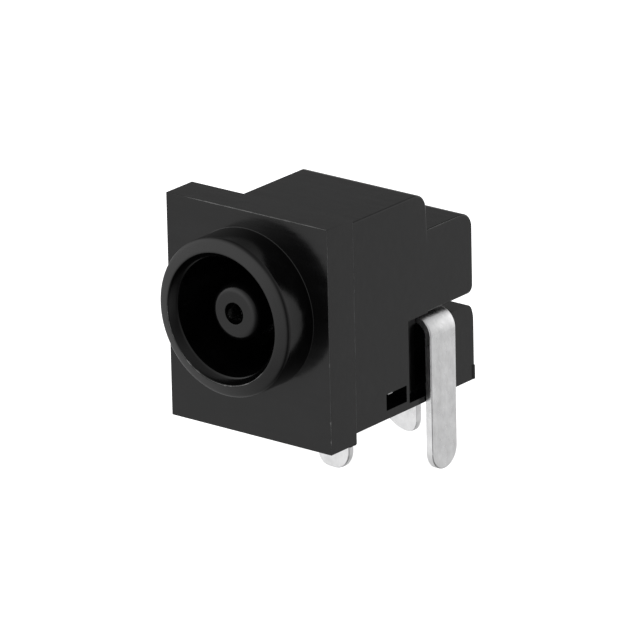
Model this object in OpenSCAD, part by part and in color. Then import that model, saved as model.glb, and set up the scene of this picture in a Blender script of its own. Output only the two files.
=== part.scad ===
// DC power jack for a plug of 5.5 mm outside diameter with a 1.0 mm centre pin.
// Board-mount, side entry. One moulded housing and four pieces of metal.
// Frame: +Z up from the board, +Y from the mouth to the rear, +X to the side that carries the side tail.
// The origin is on the board plane, under the barrel axis, at the rear face of the flange.

/* [Flange] */
// Width of the front flange
flange_w = 10.0; // [9.9:0.05:11]
// Height of the front flange
flange_h = 11.55; // [11.1:0.05:12]
// Thickness of the front flange
flange_t = 2.0; // [1.6:0.05:2.4]
// How far the flange hangs below the board plane
flange_drop = 0.5; // [0.2:0.05:0.9]

/* [Barrel] */
// Height of the barrel axis above the board
axis_z = 6.1; // [6.0:0.05:6.3]
// Outside diameter of the collar
collar_d = 8.08; // [7.8:0.02:8.3]
// How far the collar's outer edge stands in front of the flange
collar_len = 1.86; // [1.4:0.02:2.6]
// Diameter of the raised crest on the collar's lip
crest_d = 6.72; // [6.6:0.02:7.0]
// Diameter of the plug cavity
bore_d = 6.1; // [5.9:0.05:6.3]
// Depth of the plug cavity behind the flange's rear face
bore_depth = 5.0; // [4.6:0.05:5.1]
// Diameter of the centre post
post_d = 2.9; // [2.7:0.05:3.1]
// How far the post's tip sits behind the collar's outer edge
post_recess = 0.76; // [0.6:0.02:1.4]
// Diameter of the pin hole in the post's tip
pin_hole_d = 1.1; // [1.05:0.05:1.2]

/* [Body] */
// Width of the main block
body_w = 9.8; // [9.7:0.05:9.9]
// Height of the main block above the board
body_h = 10.8; // [10.6:0.05:10.95]
// Length of the main block behind the flange
body_len = 5.9; // [5.85:0.05:6.2]
// Slope cut off the main block's top left shoulder
shoulder = 2.7; // [2.3:0.05:2.9]
// Radius of the blocks' top rear edges
edge_r = 0.85; // [0.4:0.05:1.0]
// Width of the rear blocks
rear_w = 9.7; // [9.6:0.05:9.75]
// Height of the rear upper block's top above the board
rear_h = 8.8; // [8.5:0.05:9.0]
// Distance from the flange's rear face to the housing's rear face
rear_y = 9.6; // [9.4:0.05:9.8]
// Underside of the rear upper block
gap_top = 4.55; // [4.5:0.01:4.6]
// Top of the rear lower block
gap_bot = 3.97; // [3.9:0.01:3.98]

/* [Contacts] */
// Thickness of the contact strip
strip_t = 0.4; // [0.3:0.01:0.42]
// Width of each tail
tail_w = 2.0; // [1.8:0.05:2.05]
// Length of the tails below the board plane
tail_len = 3.7; // [2.5:0.1:4.5]
// Inside diameter of the centre socket
socket_id = 1.02; // [1.01:0.01:1.04]

/* [Hidden] */
$fn = 96;
e = 0.01;
PLASTIC = "#1c1c1e";
TIN = "#c8cbcf";
bore_r = bore_d/2;
post_r = post_d/2;
hole_r = pin_hole_d/2;
front_y = -flange_t - collar_len;
tip_y = front_y + post_recess;
body_x = body_w/2;
rear_x = rear_w/2;

// the side tail and its bend
side_x = 5.31;              // outer face of the side tail
side_y = 6.55;              // middle of the side tail
bend_r = 0.97;              // outer radius of its bend
strip_z = 3.98;             // underside of the horizontal strip
// the rear tail
rear_tail_x = 0.15;         // middle of the rear tail
// the middle tail
mid_tail_x = 0.83;          // middle of the tail under the body
mid_tail_y = 3.31;          // its front face
plate_z = 1.00;             // underside of the sleeve contact's plate

// the side recess around the side tail
rec_y0 = 4.31;
rec_y1 = side_y + 1.13;
rec_x = body_x - 0.45;
rec_z0 = 0.30;
pocket_y0 = 5.33;
pocket_z0 = 0.80;
pocket_z1 = 3.84;
gap_y0 = side_y - tail_w/2 - 0.1;
rivet_r = 0.7;              // the socket's staked end

// the socket's steps
sock_y0 = tip_y + 1.4;      // front of the socket
sock_r = 0.75;
seat_r = 1.0;
seat_y = 3.0;

// ---------- helpers ----------
// extrude an XZ outline from y0 to y1
module along_y(y0, y1) translate([0, y1, 0]) rotate([90, 0, 0]) linear_extrude(height = y1 - y0) children();
// extrude a YZ outline from x0 to x1
module along_x(x0, x1) translate([x0, 0, 0]) rotate([90, 0, 90]) linear_extrude(height = x1 - x0) children();
// turn an (r, -y) outline about the barrel axis
module turned() translate([0, 0, axis_z]) rotate([90, 0, 0]) rotate_extrude() children();
// a box between two corners
module box(a, b) translate(a) cube([b[0]-a[0], b[1]-a[1], b[2]-a[2]]);
// the waste outside a rounded corner at (x, z); sx, sz point out of the corner
module corner_waste(x, z, sx, sz, r) difference() {
    translate([sx > 0 ? x - r : x - 1, sz > 0 ? z - r : z - 1]) square([r + 1, r + 1]);
    translate([x - sx*r, z - sz*r]) circle(r = r);
    translate([sx > 0 ? x - r - 2 : x + r, z - 3]) square([2, 6]);
    translate([x - 3, sz > 0 ? z - r - 2 : z + r]) square([6, 2]);
}
// an XZ rectangle with its own radius at each corner: [left low, right low, right high, left high]
module rrect(x0, x1, z0, z1, rr) difference() {
    translate([x0, z0]) square([x1 - x0, z1 - z0]);
    if (rr[0] > 0) corner_waste(x0, z0, -1, -1, rr[0]);
    if (rr[1] > 0) corner_waste(x1, z0, 1, -1, rr[1]);
    if (rr[2] > 0) corner_waste(x1, z1, 1, 1, rr[2]);
    if (rr[3] > 0) corner_waste(x0, z1, -1, 1, rr[3]);
}
// points on an arc
function arc(c, r, a0, a1, n) = [for (i = [0:n]) let (a = a0 + (a1 - a0)*i/n) [c[0] + r*cos(a), c[1] + r*sin(a)]];
// outline of a strip of thickness t whose middle line is p
function nrm(v) = v / norm(v);
function side(v) = [-v[1], v[0]];
function edge_pt(p, i, h) =
    let (n = len(p),
         a = i > 0 ? nrm(p[i] - p[i-1]) : nrm(p[1] - p[0]),
         b = i < n-1 ? nrm(p[i+1] - p[i]) : nrm(p[n-1] - p[n-2]),
         m = nrm(side(a) + side(b)))
    p[i] + m * h / (m * side(a));
function strip_outline(p, t) = concat(
    [for (i = [0:len(p)-1]) edge_pt(p, i, t/2)],
    [for (i = [len(p)-1:-1:0]) edge_pt(p, i, -t/2)]);
// a flat tail with a half-round end, standing in the XZ plane
module tail_xz(xm, y0, z1) along_y(y0, y0 + strip_t) {
    translate([xm - tail_w/2, -tail_len + tail_w/2]) square([tail_w, z1 + tail_len - tail_w/2]);
    translate([xm, -tail_len + tail_w/2]) circle(d = tail_w);
}

// ---------- housing ----------
// the collar's lip: a crest with a steep slope to the bore and a gentle one to the rounded outer edge
lip_y = front_y - 0.24;
lip = [[bore_r, -(front_y + 0.20)], [bore_r + 0.04, -(front_y + 0.17)], [crest_d/2 - 0.04, -(front_y - 0.20)], [crest_d/2, -lip_y], [crest_d/2 + 0.04, -lip_y],
       [collar_d/2 - 0.20, -(front_y - 0.07)], [collar_d/2 - 0.095, -(front_y - 0.03)], [collar_d/2 - 0.033, -(front_y + 0.022)], [collar_d/2 - 0.005, -(front_y + 0.105)], [collar_d/2, -(front_y + 0.16)]];
// the post's tip, with a rounded edge
tip_r = 0.40;
tip = arc([post_r - tip_r, -(tip_y + tip_r)], tip_r, 0, 90, 6);

module cavity() turned() difference() {
    polygon([[0, -bore_depth], [bore_r, -bore_depth], [bore_r, -(front_y + 0.20)], [bore_r + 0.001, -(front_y - 1)], [0, -(front_y - 1)]]);
    polygon(concat([[-1, -bore_depth - 1], [post_r, -bore_depth - 1]], tip, [[-1, -tip_y]]));
}

module housing() color(PLASTIC) difference() {
    union() {
        // flange
        box([-flange_w/2, -flange_t, -flange_drop], [flange_w/2, 0, flange_h - flange_drop]);
        // collar
        turned() polygon(concat([[0, 1], [0, -(front_y + 0.20)]], lip, [[collar_d/2, 1]]));
        // main block with its sloped left shoulder
        intersection() {
            along_x(-body_x, body_x) rrect(-0.5, body_len, 0, body_h, [0, 0, edge_r, 0]);
            along_y(-1, body_len + 1) polygon([[-body_x - 1, -1], [body_x + 1, -1], [body_x + 1, body_h + 1], [-body_x + shoulder + 1, body_h + 1], [-body_x - 1, body_h - shoulder - 1]]);
        }
        // rear upper block
        along_x(-rear_x, rear_x) rrect(body_len - 0.04, rear_y, gap_top, rear_h, [0, 0.4, edge_r, 0]);
        // rear lower block, with a long soft corner
        along_x(-rear_x, rear_x) polygon([[body_len - 1, 0], [rear_y, 0], [rear_y, gap_bot - 0.85], [rear_y - 0.05, gap_bot - 0.50],
            [rear_y - 0.13, gap_bot - 0.24], [rear_y - 0.25, gap_bot - 0.07], [rear_y - 0.42, gap_bot], [body_len - 1, gap_bot]]);
        // core that joins the two
        along_y(body_len - 1, rear_y) translate([-rear_x, 1]) square([rear_x + 2.2, 6]);
    }
    // plug cavity around the post
    cavity();
    // pin hole and the stepped hole behind it for the socket
    turned() polygon([[0, -(sock_y0 + e)], [hole_r, -(sock_y0 + e)], [hole_r, -(tip_y + 0.03)], [hole_r + 0.03, -tip_y], [hole_r + 0.03, -(tip_y - 0.5)], [0, -(tip_y - 0.5)]]);
    turned() polygon([[0, -(rear_y + 1)], [seat_r, -(rear_y + 1)], [seat_r, -seat_y], [sock_r + 0.04, -seat_y], [sock_r + 0.04, -sock_y0], [0, -sock_y0]]);
    // slot in the cavity's floor for the spring arm, open to the board side
    box([-1.6, 0.25, -1], [1.6, mid_tail_y + strip_t + 0.02, axis_z - 2.4]);
    box([-1.6, mid_tail_y + strip_t, plate_z + strip_t + 0.4], [1.6, bore_depth + e, axis_z - 2.4]);
    box([-1.6, bore_depth, 2.45], [1.6, 7.55, gap_bot + e]);
    // room for the plate's cross bar, and for the ear at each end of it
    box([-3.86, 2.75, -1], [3.86, mid_tail_y + strip_t + 0.02, plate_z + strip_t]);
    box([-4.6, 3.02, plate_z - 0.02], [4.6, 3.55, plate_z + strip_t]);
    // latch windows in both side walls
    box([4.05, 2.49, 0.44], [6, 4.10, 1.29]);
    box([-6, 2.49, 0.44], [-4.05, 4.10, 1.29]);
    // shallow recess in the side, and the pocket behind the side tail
    box([rec_x, rec_y0, rec_z0], [6, rec_y1, gap_top]);
    box([3.0, pocket_y0, pocket_z0], [6, rec_y1, pocket_z1]);
    // gap between the rear blocks, open to the side and the rear
    box([2.2 - e, gap_y0, gap_bot], [6, rear_y + 1, gap_top]);
    // room under the side tail's bend
    box([4.3, pocket_y0, pocket_z1 - 0.1], [6, rec_y1, gap_bot + e]);
    // slot that holds the horizontal strip, open to the rear
    box([-1.3, side_y - tail_w/2, strip_z], [3.0, rear_y + 1, strip_z + strip_t]);
}

// ---------- centre socket ----------
module centre_socket() color(TIN) difference() {
    union() {
        turned() polygon([[0, -sock_y0], [sock_r - 0.06, -sock_y0], [sock_r, -(sock_y0 + 0.12)], [sock_r, -seat_y], [seat_r, -seat_y],
            [seat_r, -rear_y], [rivet_r, -rear_y], [rivet_r, -(rear_y + strip_t)], [rivet_r + 0.22, -(rear_y + strip_t)], [rivet_r + 0.2, -(rear_y + strip_t + 0.1)], [rivet_r, -(rear_y + strip_t + 0.18)], [0, -(rear_y + strip_t + 0.2)]]);
    }
    // the pin's hole, with a lead-in
    turned() polygon([[0, -(seat_y + 1.6)], [socket_id/2, -(seat_y + 1.4)], [socket_id/2, -(sock_y0 + 0.1)], [socket_id/2 + 0.09, -sock_y0], [socket_id/2 + 0.09, -(sock_y0 - 1)], [0, -(sock_y0 - 1)]]);
    // slits that make it springy
    box([-0.1, sock_y0 - 1, axis_z - 2], [0.1, seat_y - 0.5, axis_z + 2]);
}

// ---------- centre terminal ----------
module centre_terminal() color(TIN) difference() {
    union() {
        tail_xz(rear_tail_x, rear_y, 5.2);
        along_y(rear_y, rear_y + strip_t) rrect(-1.5, 1.5, axis_z - 1.5, axis_z + 1.5, [0.5, 0.5, 0.5, 0.5]);
    }
    turned() translate([0, -(rear_y + 1)]) square([rivet_r, 2]);
}

// ---------- sleeve contact ----------
// middle line of the spring: plate, front loop, rising arm, contact crest, free end under the strip
plate_m = plate_z + strip_t/2;
loop_r = 0.5;
arm = concat(
    [[mid_tail_y + strip_t, plate_m]],
    arc([1.0, plate_m + loop_r], loop_r, 270, 110, 10),
    arc([3.05, 2.92], 0.5, 118, 62, 6),
    [[4.55, 3.02]],
    [[6.05, strip_z - strip_t/2], [7.1, strip_z - strip_t/2]]);
module sleeve_contact() color(TIN) union() {
    along_x(-1.4, 1.4) polygon(strip_outline(arm, strip_t));
    // cross bar, with an ear at each end behind a window
    box([-3.84, 2.80, plate_z], [3.84, mid_tail_y + strip_t, plate_z + strip_t]);
    box([-4.55, 3.06, plate_z], [4.55, 3.51, plate_z + strip_t]);
    tail_xz(mid_tail_x, mid_tail_y, plate_z + strip_t - 0.001);
}

// ---------- switch contact ----------
// XZ outline of the horizontal strip, the bend and the tail
module switch_outline() {
    translate([-1.1, strip_z]) square([side_x - bend_r + 1.1, strip_t]);
    translate([side_x - strip_t, -tail_len + 0.001]) square([strip_t, strip_z + strip_t - bend_r + tail_len - 0.001]);
    intersection() {
        translate([side_x - bend_r, strip_z + strip_t - bend_r]) difference() {
            circle(r = bend_r);
            circle(r = bend_r - strip_t);
        }
        translate([side_x - bend_r, strip_z + strip_t - bend_r]) square([2, 2]);
    }
}
module switch_contact() color(TIN) difference() {
    along_y(side_y - tail_w/2, side_y + tail_w/2) switch_outline();
    // half-round end
    difference() {
        box([side_x - 1, side_y - 2, -tail_len - 1], [side_x + 1, side_y + 2, -tail_len + tail_w/2]);
        translate([side_x - 2, side_y, -tail_len + tail_w/2]) rotate([0, 90, 0]) cylinder(h = 4, d = tail_w);
        box([side_x - 2, side_y - tail_w/2, -tail_len + tail_w/2 - e], [side_x + 2, side_y + tail_w/2, 0]);
    }
}

housing();
centre_socket();
centre_terminal();
sleeve_contact();
switch_contact();
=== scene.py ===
import math
import bmesh
import bpy
from mathutils import Matrix, Vector, noise

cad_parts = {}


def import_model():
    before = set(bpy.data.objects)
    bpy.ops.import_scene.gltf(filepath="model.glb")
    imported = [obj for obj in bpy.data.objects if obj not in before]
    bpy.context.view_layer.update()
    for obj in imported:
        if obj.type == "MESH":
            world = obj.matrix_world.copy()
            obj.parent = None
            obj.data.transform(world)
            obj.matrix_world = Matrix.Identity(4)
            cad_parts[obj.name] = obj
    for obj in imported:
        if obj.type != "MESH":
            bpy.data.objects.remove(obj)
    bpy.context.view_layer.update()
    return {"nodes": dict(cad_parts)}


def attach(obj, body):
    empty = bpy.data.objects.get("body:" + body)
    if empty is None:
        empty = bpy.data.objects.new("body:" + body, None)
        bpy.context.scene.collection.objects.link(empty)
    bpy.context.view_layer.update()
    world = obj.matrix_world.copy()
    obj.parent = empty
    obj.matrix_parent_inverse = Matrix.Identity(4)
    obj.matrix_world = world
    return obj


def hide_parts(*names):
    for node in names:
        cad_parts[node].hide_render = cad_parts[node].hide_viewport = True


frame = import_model()
N = frame["nodes"]
MM = 0.001
scene = bpy.context.scene

# ------------------------------------------------------------------ camera
cam = bpy.data.cameras.new("camera")
cam_obj = bpy.data.objects.new("camera", cam)
scene.collection.objects.link(cam_obj)
right, up, back = Vector((0.78275, 0.62200, -0.02042)), Vector((-0.19362, 0.27458, 0.94187)), Vector((0.59145, -0.73330, 0.33536))
m = Matrix.Identity(4)
for i, v in enumerate((right, up, back)):
    v.normalize()
    for k in range(3):
        m[k][i] = v[k]
m.translation = Vector((0.231589, -0.283596, 0.135161))
cam_obj.matrix_world = m
cam.lens = 448.31
cam.sensor_width = 36.0
cam.clip_start = 0.01
cam.clip_end = 20.0
scene.camera = cam_obj


# ------------------------------------------------------------------ materials
class Tree:
    """A material's nodes, made and joined in one call each."""
    def __init__(self, name):
        self.mat = bpy.data.materials.new(name)
        self.mat.use_nodes = True
        self.nt = self.mat.node_tree
        self.nt.nodes.clear()
        self.out = self.node("OutputMaterial")
        self.b = self.node("BsdfPrincipled")
        self.link(self.b, 0, self.out, 0)

    def node(self, kind, inputs=None, **props):
        n = self.nt.nodes.new("ShaderNode" + kind)
        for k, v in props.items():
            setattr(n, k, v)
        for k, v in (inputs or {}).items():
            if isinstance(v, tuple) and len(v) == 2 and hasattr(v[0], "outputs"):
                self.nt.links.new(v[0].outputs[v[1]], n.inputs[k])
            elif hasattr(v, "outputs"):
                self.nt.links.new(v.outputs[0], n.inputs[k])
            else:
                n.inputs[k].default_value = v
        return n

    def link(self, a, i, b, j):
        self.nt.links.new(a.outputs[i], b.inputs[j])

    def math(self, op, a, b=0.0, clamp=False):
        n = self.node("Math", operation=op, use_clamp=clamp)
        for i, v in enumerate((a, b)):
            if hasattr(v, "outputs"):
                self.nt.links.new(v.outputs[0], n.inputs[i])
            else:
                n.inputs[i].default_value = v
        return n

    def ramp(self, fac, stops):
        n = self.node("ValToRGB")
        self.nt.links.new(fac.outputs[0], n.inputs[0])
        el = n.color_ramp.elements
        while len(el) < len(stops):
            el.new(0.5)
        for e, (p, c) in zip(el, stops):
            e.position = p
            e.color = (c, c, c, 1) if not isinstance(c, tuple) else c + (1,)
        return n

    def coords(self, scale):
        tc = self.node("TexCoord")
        mp = self.node("Mapping")
        self.link(tc, "Object", mp, "Vector")
        mp.inputs["Scale"].default_value = scale
        return mp


def plastic(name, base, rough, scuff=0.0):
    t = Tree(name)
    fine = t.node("TexNoise", {"Vector": t.coords((9000, 9000, 9000)), "Scale": 1.0, "Detail": 3.0, "Roughness": 0.6})
    mid = t.node("TexNoise", {"Vector": t.coords((1500, 1500, 1500)), "Scale": 1.0, "Detail": 3.0, "Roughness": 0.55})
    flow = t.node("TexNoise", {"Vector": t.coords((300, 2600, 2600)), "Scale": 1.0, "Detail": 4.0, "Roughness": 0.6})
    # satin: roughness wanders a little with the flow of the moulding
    r = t.ramp(flow, ((0.3, rough - 0.03), (0.7, rough + 0.04)))
    t.link(r, 0, t.b, "Roughness")
    # colour: near black, clouded by the flow of the melt
    wide = t.node("TexNoise", {"Vector": t.coords((420, 420, 420)), "Scale": 1.0, "Detail": 2.0, "Roughness": 0.5})
    blend = t.math("ADD", t.math("MULTIPLY", wide, 0.45), t.math("ADD", t.math("MULTIPLY", mid, 0.25), t.math("MULTIPLY", flow, 0.30)))
    c = t.ramp(blend, ((0.32, tuple(v * 0.4 for v in base)), (0.5, base), (0.70, tuple(v * 2.4 for v in base))))
    t.link(c, 0, t.b, "Base Color")
    b1 = t.node("Bump", {"Height": fine, "Strength": 0.06, "Distance": 0.00001})
    b2 = t.node("Bump", {"Height": mid, "Strength": 0.10, "Distance": 0.00004, "Normal": b1})
    b3 = t.node("Bump", {"Height": flow, "Strength": 0.06, "Distance": 0.00006, "Normal": b2})
    t.link(b3, 0, t.b, "Normal")
    t.b.inputs["IOR"].default_value = 1.45
    return t.mat


def tin(name):
    t = Tree(name)
    blot = t.node("TexNoise", {"Vector": t.coords((1900, 1900, 1400)), "Scale": 1.0, "Detail": 4.0, "Roughness": 0.62})
    grain = t.node("TexNoise", {"Vector": t.coords((7000, 7000, 2200)), "Scale": 1.0, "Detail": 3.0, "Roughness": 0.6})
    c = t.ramp(blot, ((0.28, (0.76, 0.76, 0.765)), (0.5, (0.85, 0.85, 0.855)), (0.72, (0.93, 0.93, 0.935))))
    t.link(c, 0, t.b, "Base Color")
    r = t.ramp(grain, ((0.3, 0.26), (0.7, 0.42)))
    t.link(r, 0, t.b, "Roughness")
    b1 = t.node("Bump", {"Height": grain, "Strength": 0.12, "Distance": 0.00002})
    b2 = t.node("Bump", {"Height": blot, "Strength": 0.20, "Distance": 0.00010, "Normal": b1})
    t.link(b2, 0, t.b, "Normal")
    t.b.inputs["Metallic"].default_value = 1.0
    return t.mat


BLACK = plastic("black_plastic", (0.0024, 0.0024, 0.0025), 0.17)
# a lighter, rougher copy of the black plastic for the recess floor beside the side tail: painted light
RECESS_PAINTED_LIGHT = plastic("black_plastic_recess_painted_light", (0.0062, 0.0062, 0.0064), 0.40)
# light-grey plastic for the edge beads: partly worn flash, partly painted edge highlights
WEAR_AND_PAINTED_HIGHLIGHT = plastic("black_plastic_wear_and_painted_highlight", (0.14, 0.14, 0.14), 0.45)
TIN = tin("tinned_metal")

# ------------------------------------------------------------------ shapes, in millimetres
AXIS_Z = 6.1


def obj(name, bm_or_mesh):
    if isinstance(bm_or_mesh, bmesh.types.BMesh):
        me = bpy.data.meshes.new(name)
        bmesh.ops.recalc_face_normals(bm_or_mesh, faces=bm_or_mesh.faces)
        bm_or_mesh.to_mesh(me)
        bm_or_mesh.free()
    else:
        me = bm_or_mesh
    o = bpy.data.objects.new(name, me)
    scene.collection.objects.link(o)
    return o


def prism(pts, axis, a, b):
    """Extrude an outline: axis x takes (y, z) points, axis y takes (x, z), axis z takes (x, y)."""
    bm = bmesh.new()
    put = {"x": lambda p, t: (t, p[0], p[1]), "y": lambda p, t: (p[0], t, p[1]), "z": lambda p, t: (p[0], p[1], t)}[axis]
    lo = [bm.verts.new(put(p, a)) for p in pts]
    hi = [bm.verts.new(put(p, b)) for p in pts]
    bm.faces.new(lo)
    bm.faces.new(hi[::-1])
    for i in range(len(pts)):
        j = (i + 1) % len(pts)
        bm.faces.new((lo[i], hi[i], hi[j], lo[j]))
    bmesh.ops.recalc_face_normals(bm, faces=bm.faces)
    return bm


def block(a, b):
    return prism([(a[0], a[2]), (b[0], a[2]), (b[0], b[2]), (a[0], b[2])], "y", a[1], b[1])


def lathe(pts, seg=256):
    """Turn a closed (radius, y) outline about the barrel's axis."""
    bm = bmesh.new()
    rings = []
    for r, y in pts:
        if r < 1e-6:
            rings.append([bm.verts.new((0, y, AXIS_Z))])
        else:
            rings.append([bm.verts.new((r * math.cos(2 * math.pi * k / seg), y, AXIS_Z + r * math.sin(2 * math.pi * k / seg))) for k in range(seg)])
    for i in range(len(pts)):
        A, B = rings[i], rings[(i + 1) % len(pts)]
        if len(A) == 1 and len(B) == 1:
            continue
        for k in range(seg):
            q = (k + 1) % seg
            f = [A[k % len(A)], B[k % len(B)]]
            if len(B) > 1:
                f.append(B[q])
            if len(A) > 1:
                f.append(A[q])
            bm.faces.new(f)
    bmesh.ops.recalc_face_normals(bm, faces=bm.faces)
    return bm


def round_edges(bm, width, seg=3, angle=30.0, keep=None):
    """Round the sharp edges that keep() accepts; keep takes the edge's two ends."""
    lim = math.radians(angle)
    ed = [e for e in bm.edges if len(e.link_faces) == 2 and e.calc_face_angle(0) > lim and (keep is None or keep(e.verts[0].co, e.verts[1].co))]
    bmesh.ops.bevel(bm, geom=ed, offset=width, offset_type="OFFSET", segments=seg, profile=0.5, affect="EDGES", clamp_overlap=True)
    return bm


def arc(cx, cy, r, a0, a1, n):
    return [(cx + r * math.cos(math.radians(a0 + (a1 - a0) * i / n)), cy + r * math.sin(math.radians(a0 + (a1 - a0) * i / n))) for i in range(n + 1)]


def boolean(base, others, op):
    for o in others:
        md = base.modifiers.new("cut", "BOOLEAN")
        md.operation = op
        md.solver = "MANIFOLD"
        md.object = o
    dg = bpy.context.evaluated_depsgraph_get()
    me = bpy.data.meshes.new_from_object(base.evaluated_get(dg))
    base.modifiers.clear()
    me.materials.clear()
    me.polygons.foreach_set("material_index", [0] * len(me.polygons))
    base.data = me
    for o in others:
        bpy.data.objects.remove(o)
    return base


def finish_piece(o, name, mats, angle=26.0):
    """Millimetres to metres, smooth shading with sharp corners, names and materials."""
    me = o.data
    me.transform(Matrix.Scale(MM, 4))
    o.name = name
    me.name = name
    for mt in mats:
        me.materials.append(mt)
    me.polygons.foreach_set("use_smooth", [True] * len(me.polygons))
    me.set_sharp_from_angle(angle=math.radians(angle))
    w = o.modifiers.new("normals", "WEIGHTED_NORMAL")
    w.mode = "FACE_AREA"
    w.weight = 100
    w.keep_sharp = True
    return o


# ------------------------------------------------------------------ housing
FRONT = -3.86                   # the collar's outer edge
TIP = FRONT + 0.76              # the post's tip

# flange
flange = obj("flange", round_edges(block((-5, -2, -0.5), (5, 0, 11.05)), 0.022, 2))
# collar and lip
lip = [(3.05, FRONT + 0.20), (3.062, FRONT + 0.183), (3.09, FRONT + 0.165), (3.13, FRONT + 0.115), (3.29, FRONT - 0.13), (3.315, FRONT - 0.185), (3.332, FRONT - 0.218), (3.352, FRONT - 0.236), (3.38, FRONT - 0.240), (3.41, FRONT - 0.234)]
lip += [(3.48, FRONT - 0.211), (3.66, FRONT - 0.145), (3.80, FRONT - 0.092), (3.86, FRONT - 0.068), (3.905, FRONT - 0.048), (3.945, FRONT - 0.026), (3.98, FRONT + 0.002), (4.007, FRONT + 0.034), (4.026, FRONT + 0.072), (4.036, FRONT + 0.115), (4.04, FRONT + 0.17)]
base_fillet = [(4.04, -2.04), (4.044, -2.022), (4.055, -2.009), (4.07, -2.001), (4.085, -1.98), (4.085, -1.0)]
collar = obj("collar", lathe([(0, -1), (0, FRONT + 0.20)] + lip + base_fillet))
# main block
main = prism([(-0.5, 0), (5.9, 0)] + arc(5.05, 9.95, 0.85, 0, 90, 18) + [(-0.5, 10.8)], "x", -4.9, 4.9)
round_edges(main, 0.10, 4, 60.0, lambda p, q: abs(p.x - q.x) < 1e-4 and p.x > 0 and min(p.z, q.z) > 9.94)
main = obj("main", round_edges(main, 0.03, 2, 60.0, lambda p, q: abs(p.y) > 1 and abs(q.y) > 1 and max(p.z, q.z) < 1))
shoulder = obj("shoulder", prism([(-6, -1), (6, -1), (6, 12), (-4.9 + 2.7 + 1.2, 12), (-6, 10.8 - 2.7 - 1.1)], "y", -2, 8))
boolean(main, [shoulder], "INTERSECT")
# rear blocks and the core behind them
upper = prism([(5.86, 4.55)] + arc(9.20, 4.95, 0.40, -90, 0, 10) + arc(8.75, 7.95, 0.85, 0, 90, 18) + [(5.86, 8.8)], "x", -4.85, 4.85)
upper = obj("upper", round_edges(upper, 0.10, 4, 60.0, lambda p, q: abs(p.x - q.x) < 1e-4 and max(p.y, q.y) > 5.9))
low = [(4.95, 0), (9.6, 0), (9.6, 3.02), (9.597, 3.14), (9.585, 3.28), (9.563, 3.42), (9.532, 3.55), (9.49, 3.67), (9.435, 3.775), (9.37, 3.86), (9.29, 3.925), (9.20, 3.96), (9.10, 3.97), (4.95, 3.97)]
lower = obj("lower", round_edges(prism(low, "x", -4.85, 4.85), 0.035, 2, 60.0, lambda p, q: abs(p.x - q.x) < 1e-4 and p.y > 5 and q.y > 5))
core = obj("core", block((-4.85, 4.95, 1), (2.2, 9.6, 7)))
# flash left by the mould at the lower rear corner
flash = obj("flash", prism([(4.80, 9.50), (4.86, 9.40), (4.90, 9.52), (4.895, 9.60), (4.80, 9.60)], "z", 0.02, 0.75))
boolean(flange, [collar, main, upper, lower, core, flash], "UNION")
housing = flange

# cavity round the post
tip = arc(1.45 - 0.40, TIP + 0.40, 0.40, -90, 0, 16)
cavity = [(1.45, 5.0), (3.05, 5.0), (3.05, FRONT - 1), (0, FRONT - 1), (0, TIP)] + tip
cuts = [obj("cavity", lathe(cavity))]
# pin hole with its lead-in, and the stepped hole for the socket
cuts.append(obj("pin_hole", lathe([(0, TIP + 1.42), (0.55, TIP + 1.42), (0.55, TIP + 0.03), (0.56, TIP + 0.01), (0.58, TIP), (0.58, TIP - 0.5), (0, TIP - 0.5)], 96)))
cuts.append(obj("seat_hole", lathe([(0, 10.6), (1.0, 10.6), (1.0, 3.0), (0.79, 3.0), (0.79, TIP + 1.4), (0, TIP + 1.4)], 96)))


def cut(a, b):
    cuts.append(obj("cut", block(a, b)))


cut((-1.6, 0.25, -1), (1.6, 3.73, 3.7))
cut((-1.6, 3.71, 1.8), (1.6, 5.01, 3.7))
cut((-1.6, 5.0, 2.45), (1.6, 7.55, 3.98))
cut((-3.86, 2.75, -1), (3.86, 3.73, 1.4))
cut((-4.6, 3.02, 0.98), (4.6, 3.55, 1.4))
cut((4.05, 2.49, 0.44), (6, 4.10, 1.29))
cut((-6, 2.49, 0.44), (-4.05, 4.10, 1.29))
cuts.append(obj("recess", round_edges(block((4.45, 4.31, 0.30), (6, 7.68, 4.55)), 0.10, 3, 30.0, lambda p, q: abs(p.y - q.y) < 1e-4 and p.x < 5 and q.x < 5 and p.y < 5)))
cut((3.0, 5.33, 0.80), (6, 7.68, 3.84))
cut((2.19, 5.45, 3.97), (6, 10.6, 4.55))
cut((4.3, 5.33, 3.74), (6, 7.68, 3.98))
cut((-1.3, 5.55, 3.98), (3.0, 10.6, 4.38))
boolean(housing, cuts, "DIFFERENCE")


def bead(bm, pts, seed, mat, sides=6):
    """A closed bead along a line: pts are (x, y, z, radius); the radius and the line wander a little."""
    rings = []
    for i, (x, y, z, r) in enumerate(pts):
        a, b = Vector(pts[max(i - 1, 0)][:3]), Vector(pts[min(i + 1, len(pts) - 1)][:3])
        d = (b - a).normalized()
        u = d.cross(Vector((0.31, 0.52, 0.79))).normalized()
        w = d.cross(u)
        c = Vector((x, y, z)) + 0.35 * r * (noise.noise(Vector((seed, 3.1 * i, 0.5))) * u + noise.noise(Vector((seed, 2.7 * i, 9.5))) * w)
        rings.append([bm.verts.new(c + r * (math.cos(math.tau * k / sides) * u + math.sin(math.tau * k / sides) * w)) for k in range(sides)])
    made = [bm.faces.new(rings[0]), bm.faces.new(rings[-1][::-1])]
    for A, B in zip(rings, rings[1:]):
        for k in range(sides):
            q = (k + 1) % sides
            made.append(bm.faces.new((A[k], B[k], B[q], A[q])))
    bmesh.ops.recalc_face_normals(bm, faces=made)
    for f in made:
        f.material_index = mat


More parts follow.
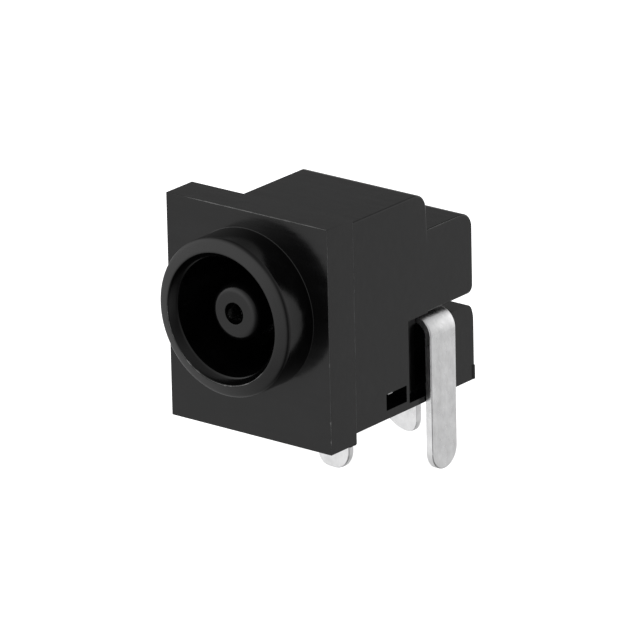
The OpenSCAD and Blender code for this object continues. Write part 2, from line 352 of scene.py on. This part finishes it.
def edge_bead(bm, a, b, seed, lo, hi, mat=1, step=0.09, peaks=()):
    """A bead along a straight edge from a to b, worn flash and, in the light-grey material, a painted edge highlight;
    radius between lo and hi, larger at peaks (0..1, size).
    """
    a, b = Vector(a), Vector(b)
    n = max(int((b - a).length / step), 2)
    pts = []
    for i in range(n + 1):
        t = i / n
        k = 0.5 + 0.5 * noise.noise(Vector((seed, t * n * 0.55, 4.2))) + 0.35 * noise.noise(Vector((seed + 9, t * n * 0.12, 1.2)))
        r = lo + (hi - lo) * min(max(k, 0.0), 1.0)
        for (pt, size, spread) in peaks:
            r = max(r, size * math.exp(-((t - pt) / spread) ** 2))
        pts.append((*a.lerp(b, t), max(r * min(1.0, 8 * t + 0.1, 8 * (1 - t) + 0.1), 0.002)))
    bead(bm, pts, seed, mat)


# light-grey beads along the mould's parting edges: partly worn flash and nicks, partly painted edge highlights; the
# black bead on the flange's lower edge is a nick
bm = bmesh.new()
bm.from_mesh(housing.data)
edge_bead(bm, (-3.9, -1.995, 11.045), (4.97, -1.995, 11.045), 1.0, 0.006, 0.034, peaks=((0.985, 0.045, 0.01), (0.62, 0.034, 0.02), (0.72, 0.036, 0.03)))
edge_bead(bm, (4.995, -1.995, 11.0), (4.995, -1.995, -0.45), 2.0, 0.002, 0.007, peaks=((0.60, 0.02, 0.01), (0.86, 0.034, 0.006), (0.945, 0.036, 0.008)))
edge_bead(bm, (5.0, -0.005, 10.9), (5.0, -0.005, 0.3), 3.0, 0.002, 0.009, peaks=((0.27, 0.022, 0.012), (0.33, 0.02, 0.01), (0.62, 0.018, 0.02)))
edge_bead(bm, (4.825, 6.0, 8.775), (4.825, 8.75, 8.775), 4.0, 0.006, 0.018)
edge_bead(bm, (4.99, -0.62, -0.49), (4.99, -0.03, -0.49), 5.0, 0.02, 0.05, mat=0, step=0.06)
# light-grey bead round the lip's crest: partly worn flash marks, partly a painted highlight along the crest
crest = []
for i in range(0, 300):
    a = 176 + 0.5 * i
    k = 0.5 + 0.5 * noise.noise(Vector((7.7, i * 0.23, 0.3))) + 0.5 * noise.noise(Vector((1.7, i * 0.055, 5.3)))
    r = 0.003 + 0.016 * min(max(k, 0.0), 1.0)
    for (pa, size, spread) in ((232, 0.038, 3.5), (243, 0.034, 3.0), (273, 0.042, 1.4), (279, 0.036, 1.6), (296, 0.024, 5.0), (314, 0.028, 7.0)):
        r = max(r, size * math.exp(-((a - pa) / spread) ** 2))
    r *= min(1.0, 0.05 + i / 20, 0.05 + (299 - i) / 20)
    crest.append((3.365 * math.cos(math.radians(a)), FRONT - 0.232, AXIS_Z + 3.365 * math.sin(math.radians(a)), max(r, 0.002)))
bead(bm, crest, 6.0, 1)
bm.to_mesh(housing.data)
bm.free()
# the recess floor beside the side tail takes the lighter copy of the plastic (index 2): painted light in the recess
for f in housing.data.polygons:
    c = f.center
    if f.material_index == 0 and abs(c.x - 4.45) < 0.12 and 4.2 < c.y < 5.5 and 0.25 < c.z < 4.6:
        f.material_index = 2
finish_piece(housing, "housing_moulding", [BLACK, WEAR_AND_PAINTED_HIGHLIGHT, RECESS_PAINTED_LIGHT])
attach(housing, "root")
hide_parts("housing")


# ------------------------------------------------------------------ contacts
def strip_piece(name, node, parts, width=0.07, seg=4):
    """Join the strip's parts into one solid and round its sheared edges."""
    base = obj(name, parts[0])
    if len(parts) > 1:
        boolean(base, [obj("part", p) for p in parts[1:]], "UNION")
    bm = bmesh.new()
    bm.from_mesh(base.data)
    bmesh.ops.remove_doubles(bm, verts=bm.verts, dist=1e-4)
    bmesh.ops.dissolve_limit(bm, angle_limit=math.radians(0.5), verts=bm.verts, edges=bm.edges)
    round_edges(bm, width, seg, 40.0)
    bmesh.ops.recalc_face_normals(bm, faces=bm.faces)
    bm.to_mesh(base.data)
    bm.free()
    finish_piece(base, name, [TIN], 40.0)
    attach(base, "root")
    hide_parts(node)
    return base


T = 0.4
# switch contact: strip under the upper block, a bend, and the side tail
out_r, cx, cz = 0.97, 5.31 - 0.97, 3.98 + T - 0.97
profile = [(-1.1, 3.98)] + arc(cx, cz, out_r - T, 90, 0, 16) + [(5.31 - T, -3.6), (5.31 - T, -3.75), (5.31, -3.75), (5.31, -3.6)] + arc(cx, cz, out_r, 0, 90, 20) + [(-1.1, 3.98 + T)]
sw = obj("sw", prism(profile, "y", 5.55, 7.55))
tail_end = obj("tail_end", prism([(5.55 - 0.5, 6), (5.55 - 0.5, -2.7), (5.55, -2.7)] + [(6.55 - math.cos(math.radians(a)), -2.70 - math.sin(math.radians(a))) for a in range(6, 180, 6)] + [(7.55, -2.7), (8.05, -2.7), (8.05, 6)], "x", -2, 7))
boolean(sw, [tail_end], "INTERSECT")
bm = bmesh.new()
bm.from_mesh(sw.data)
bpy.data.objects.remove(sw)
side = strip_piece("side_tail_strip", "switch_contact", [bm])
bm = bmesh.new()
bead(bm, [(5.29, 5.585, -2.58, 0.004), (5.295, 5.57, -2.64, 0.02), (5.295, 5.56, -2.70, 0.035), (5.295, 5.575, -2.74, 0.02), (5.29, 5.59, -2.78, 0.004)], 8.0, 0)
bmesh.ops.scale(bm, vec=(MM, MM, MM), verts=bm.verts)
bm.from_mesh(side.data)
bm.to_mesh(side.data)
bm.free()


# the rear and middle tails end in unevenly sheared tips
REAR_TIP = [(-0.85, -2.7), (-0.80, -2.98), (-0.68, -3.18), (-0.51, -3.31), (-0.30, -3.45), (-0.10, -3.56), (0.12, -3.64), (0.35, -3.69), (0.60, -3.70), (0.80, -3.67), (0.93, -3.58), (1.02, -3.45), (1.10, -3.28), (1.15, -3.05)]
MID_TIP = [(-0.17, -2.75), (-0.13, -3.0), (-0.05, -3.2), (0.05, -3.38), (0.18, -3.51), (0.35, -3.59), (0.60, -3.63), (0.90, -3.64), (1.15, -3.61), (1.35, -3.53), (1.52, -3.40), (1.66, -3.22), (1.76, -3.02), (1.83, -2.75)]


def tail(tip_line, y0, z1):
    return prism([(tip_line[-1][0], z1), (tip_line[0][0], z1)] + tip_line, "y", y0, y0 + T)


# centre terminal, with a hole for the socket's staked end
term = obj("term", tail(REAR_TIP, 9.6, 5.2))
plate = arc(1.0, 5.1, 0.5, -90, 0, 8) + arc(1.0, 7.1, 0.5, 0, 90, 8) + arc(-1.0, 7.1, 0.5, 90, 180, 8) + arc(-1.0, 5.1, 0.5, 180, 270, 8)
boolean(term, [obj("plate", prism(plate, "y", 9.6, 9.6 + T))], "UNION")
boolean(term, [obj("hole", lathe([(0, 9), (0.7, 9), (0.7, 11), (0, 11)], 64))], "DIFFERENCE")
bm = bmesh.new()
bm.from_mesh(term.data)
bpy.data.objects.remove(term)
strip_piece("rear_tail_strip", "centre_terminal", [bm], 0.06)

# sleeve contact: spring arm, cross bar with ears, middle tail
path = [(3.71, 1.2)] + arc(1.0, 1.7, 0.5, 270, 110, 20) + arc(3.05, 2.92, 0.5, 118, 62, 12) + [(4.55, 3.02), (6.05, 3.78), (7.1, 3.78)]


def thicken(p, t):
    n = len(p)
    def edge(i, h):
        a = Vector(p[i]) - Vector(p[i - 1]) if i else Vector(p[1]) - Vector(p[0])
        b = Vector(p[i + 1]) - Vector(p[i]) if i < n - 1 else Vector(p[-1]) - Vector(p[-2])
        a, b = a.normalized(), b.normalized()
        sa, sb = Vector((-a.y, a.x)), Vector((-b.y, b.x))
        mm = (sa + sb).normalized()
        return Vector(p[i]) + mm * (h / mm.dot(sa))
    return [tuple(edge(i, t / 2)) for i in range(n)] + [tuple(edge(i, -t / 2)) for i in range(n - 1, -1, -1)]


strip_piece("middle_tail_strip", "sleeve_contact", [
    prism(thicken(path, T), "x", -1.4, 1.4),
    block((-3.84, 2.80, 1.0), (3.84, 3.71, 1.4)),
    block((-4.55, 3.06, 1.0), (4.55, 3.51, 1.4)),
    tail(MID_TIP, 3.31, 1.3)], 0.06)

# centre socket: stepped turned body, bored and slit, its end staked over the terminal
S0 = TIP + 1.4
body = lathe([(0, S0), (0.66, S0), (0.70, S0 + 0.02), (0.74, S0 + 0.07), (0.75, S0 + 0.13), (0.75, 3.0), (1.0, 3.0), (1.0, 9.6), (0.7, 9.6), (0.7, 10.0), (0.92, 10.0), (0.915, 10.07), (0.87, 10.13), (0.76, 10.17), (0.6, 10.19), (0.3, 10.175), (0, 10.17)], 96)
sock = obj("sock", body)
boolean(sock, [obj("bore", lathe([(0, 4.6), (0.51, 4.4), (0.51, S0 + 0.1), (0.53, S0 + 0.05), (0.60, S0), (0.60, S0 - 1), (0, S0 - 1)], 96)), obj("slit", block((-0.1, S0 - 1, 4.1), (0.1, 2.5, 8.1)))], "DIFFERENCE")
finish_piece(sock, "centre_socket_turned", [TIN], 30.0)
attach(sock, "root")
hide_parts("centre_socket")

# ------------------------------------------------------------------ floor and light
me = bpy.data.meshes.new("floor")
s, z = 3.0, -3.7 * MM
me.from_pydata([(-s, -s, z), (s, -s, z), (s, s, z), (-s, s, z)], [], [(0, 1, 2, 3)])
floor = bpy.data.objects.new("floor", me)
scene.collection.objects.link(floor)
t = Tree("floor_white")
t.b.inputs["Base Color"].default_value = (0.9, 0.9, 0.9, 1)
t.b.inputs["Roughness"].default_value = 0.9
t.b.inputs["Emission Color"].default_value = (1, 1, 1, 1)
t.b.inputs["Emission Strength"].default_value = 1.0
me.materials.append(t.mat)
# the sweep is lit to pure white: it shows in the camera, and the light below comes from the lobes
floor.visible_diffuse = False
floor.visible_glossy = False
floor.visible_transmission = False
floor.visible_shadow = False

# soft studio light: broad panels on all sides, each a smooth lobe (direction, sharpness, strength)
LOBES = [
    (72, -55, 6, 0.12), (144, -55, 6, 0.38), (216, -55, 6, 0.67),
    (0, -20, 8, 0.51), (45, -20, 8, 0.36), (90, -20, 8, 0.95), (135, -20, 8, 0.58), (180, -20, 8, 0.38), (225, -20, 8, 0.43), (270, -20, 8, 0.92),
    (22.5, 15, 8, 0.38), (67.5, 15, 8, 1.25), (112.5, 15, 8, 0.13), (157.5, 15, 8, 0.17), (202.5, 15, 8, 1.26), (247.5, 15, 8, 1.46), (292.5, 15, 8, 0.66),
    (0, 50, 6, 0.40), (72, 50, 6, 0.20), (216, 50, 6, 0.55), (288, 50, 6, 0.24), (0, 90, 6, 0.11),
]
AMBIENT = 0.0

world = bpy.data.worlds.new("world")
scene.world = world
world.use_nodes = True
nt = world.node_tree
nt.nodes.clear()
wout = nt.nodes.new("ShaderNodeOutputWorld")
seen = nt.nodes.new("ShaderNodeBackground")
seen.inputs[0].default_value = (1, 1, 1, 1)
lit = nt.nodes.new("ShaderNodeBackground")
mix = nt.nodes.new("ShaderNodeMixShader")
lp = nt.nodes.new("ShaderNodeLightPath")
nt.links.new(lp.outputs["Is Camera Ray"], mix.inputs[0])
nt.links.new(lit.outputs[0], mix.inputs[1])
nt.links.new(seen.outputs[0], mix.inputs[2])
nt.links.new(mix.outputs[0], wout.inputs[0])
tc = nt.nodes.new("ShaderNodeTexCoord")
total = None
for k, (az, el, p, wgt) in enumerate(LOBES):
    a, e = math.radians(az), math.radians(el)
    dot = nt.nodes.new("ShaderNodeVectorMath")
    dot.operation = "DOT_PRODUCT"
    nt.links.new(tc.outputs["Generated"], dot.inputs[0])
    dot.inputs[1].default_value = (math.cos(e) * math.cos(a), math.cos(e) * math.sin(a), math.sin(e))
    pos = nt.nodes.new("ShaderNodeMath")
    pos.operation = "MAXIMUM"
    nt.links.new(dot.outputs["Value"], pos.inputs[0])
    pos.inputs[1].default_value = 0.0
    pw = nt.nodes.new("ShaderNodeMath")
    pw.operation = "POWER"
    nt.links.new(pos.outputs[0], pw.inputs[0])
    pw.inputs[1].default_value = p
    ma = nt.nodes.new("ShaderNodeMath")
    ma.operation = "MULTIPLY_ADD"
    ma.name = "lobe%02d" % k
    nt.links.new(pw.outputs[0], ma.inputs[0])
    ma.inputs[1].default_value = wgt
    if total is None:
        ma.inputs[2].default_value = AMBIENT
    else:
        nt.links.new(total.outputs[0], ma.inputs[2])
    total = ma
nt.links.new(total.outputs[0], lit.inputs[1])
scene.view_settings.view_transform = "Standard"
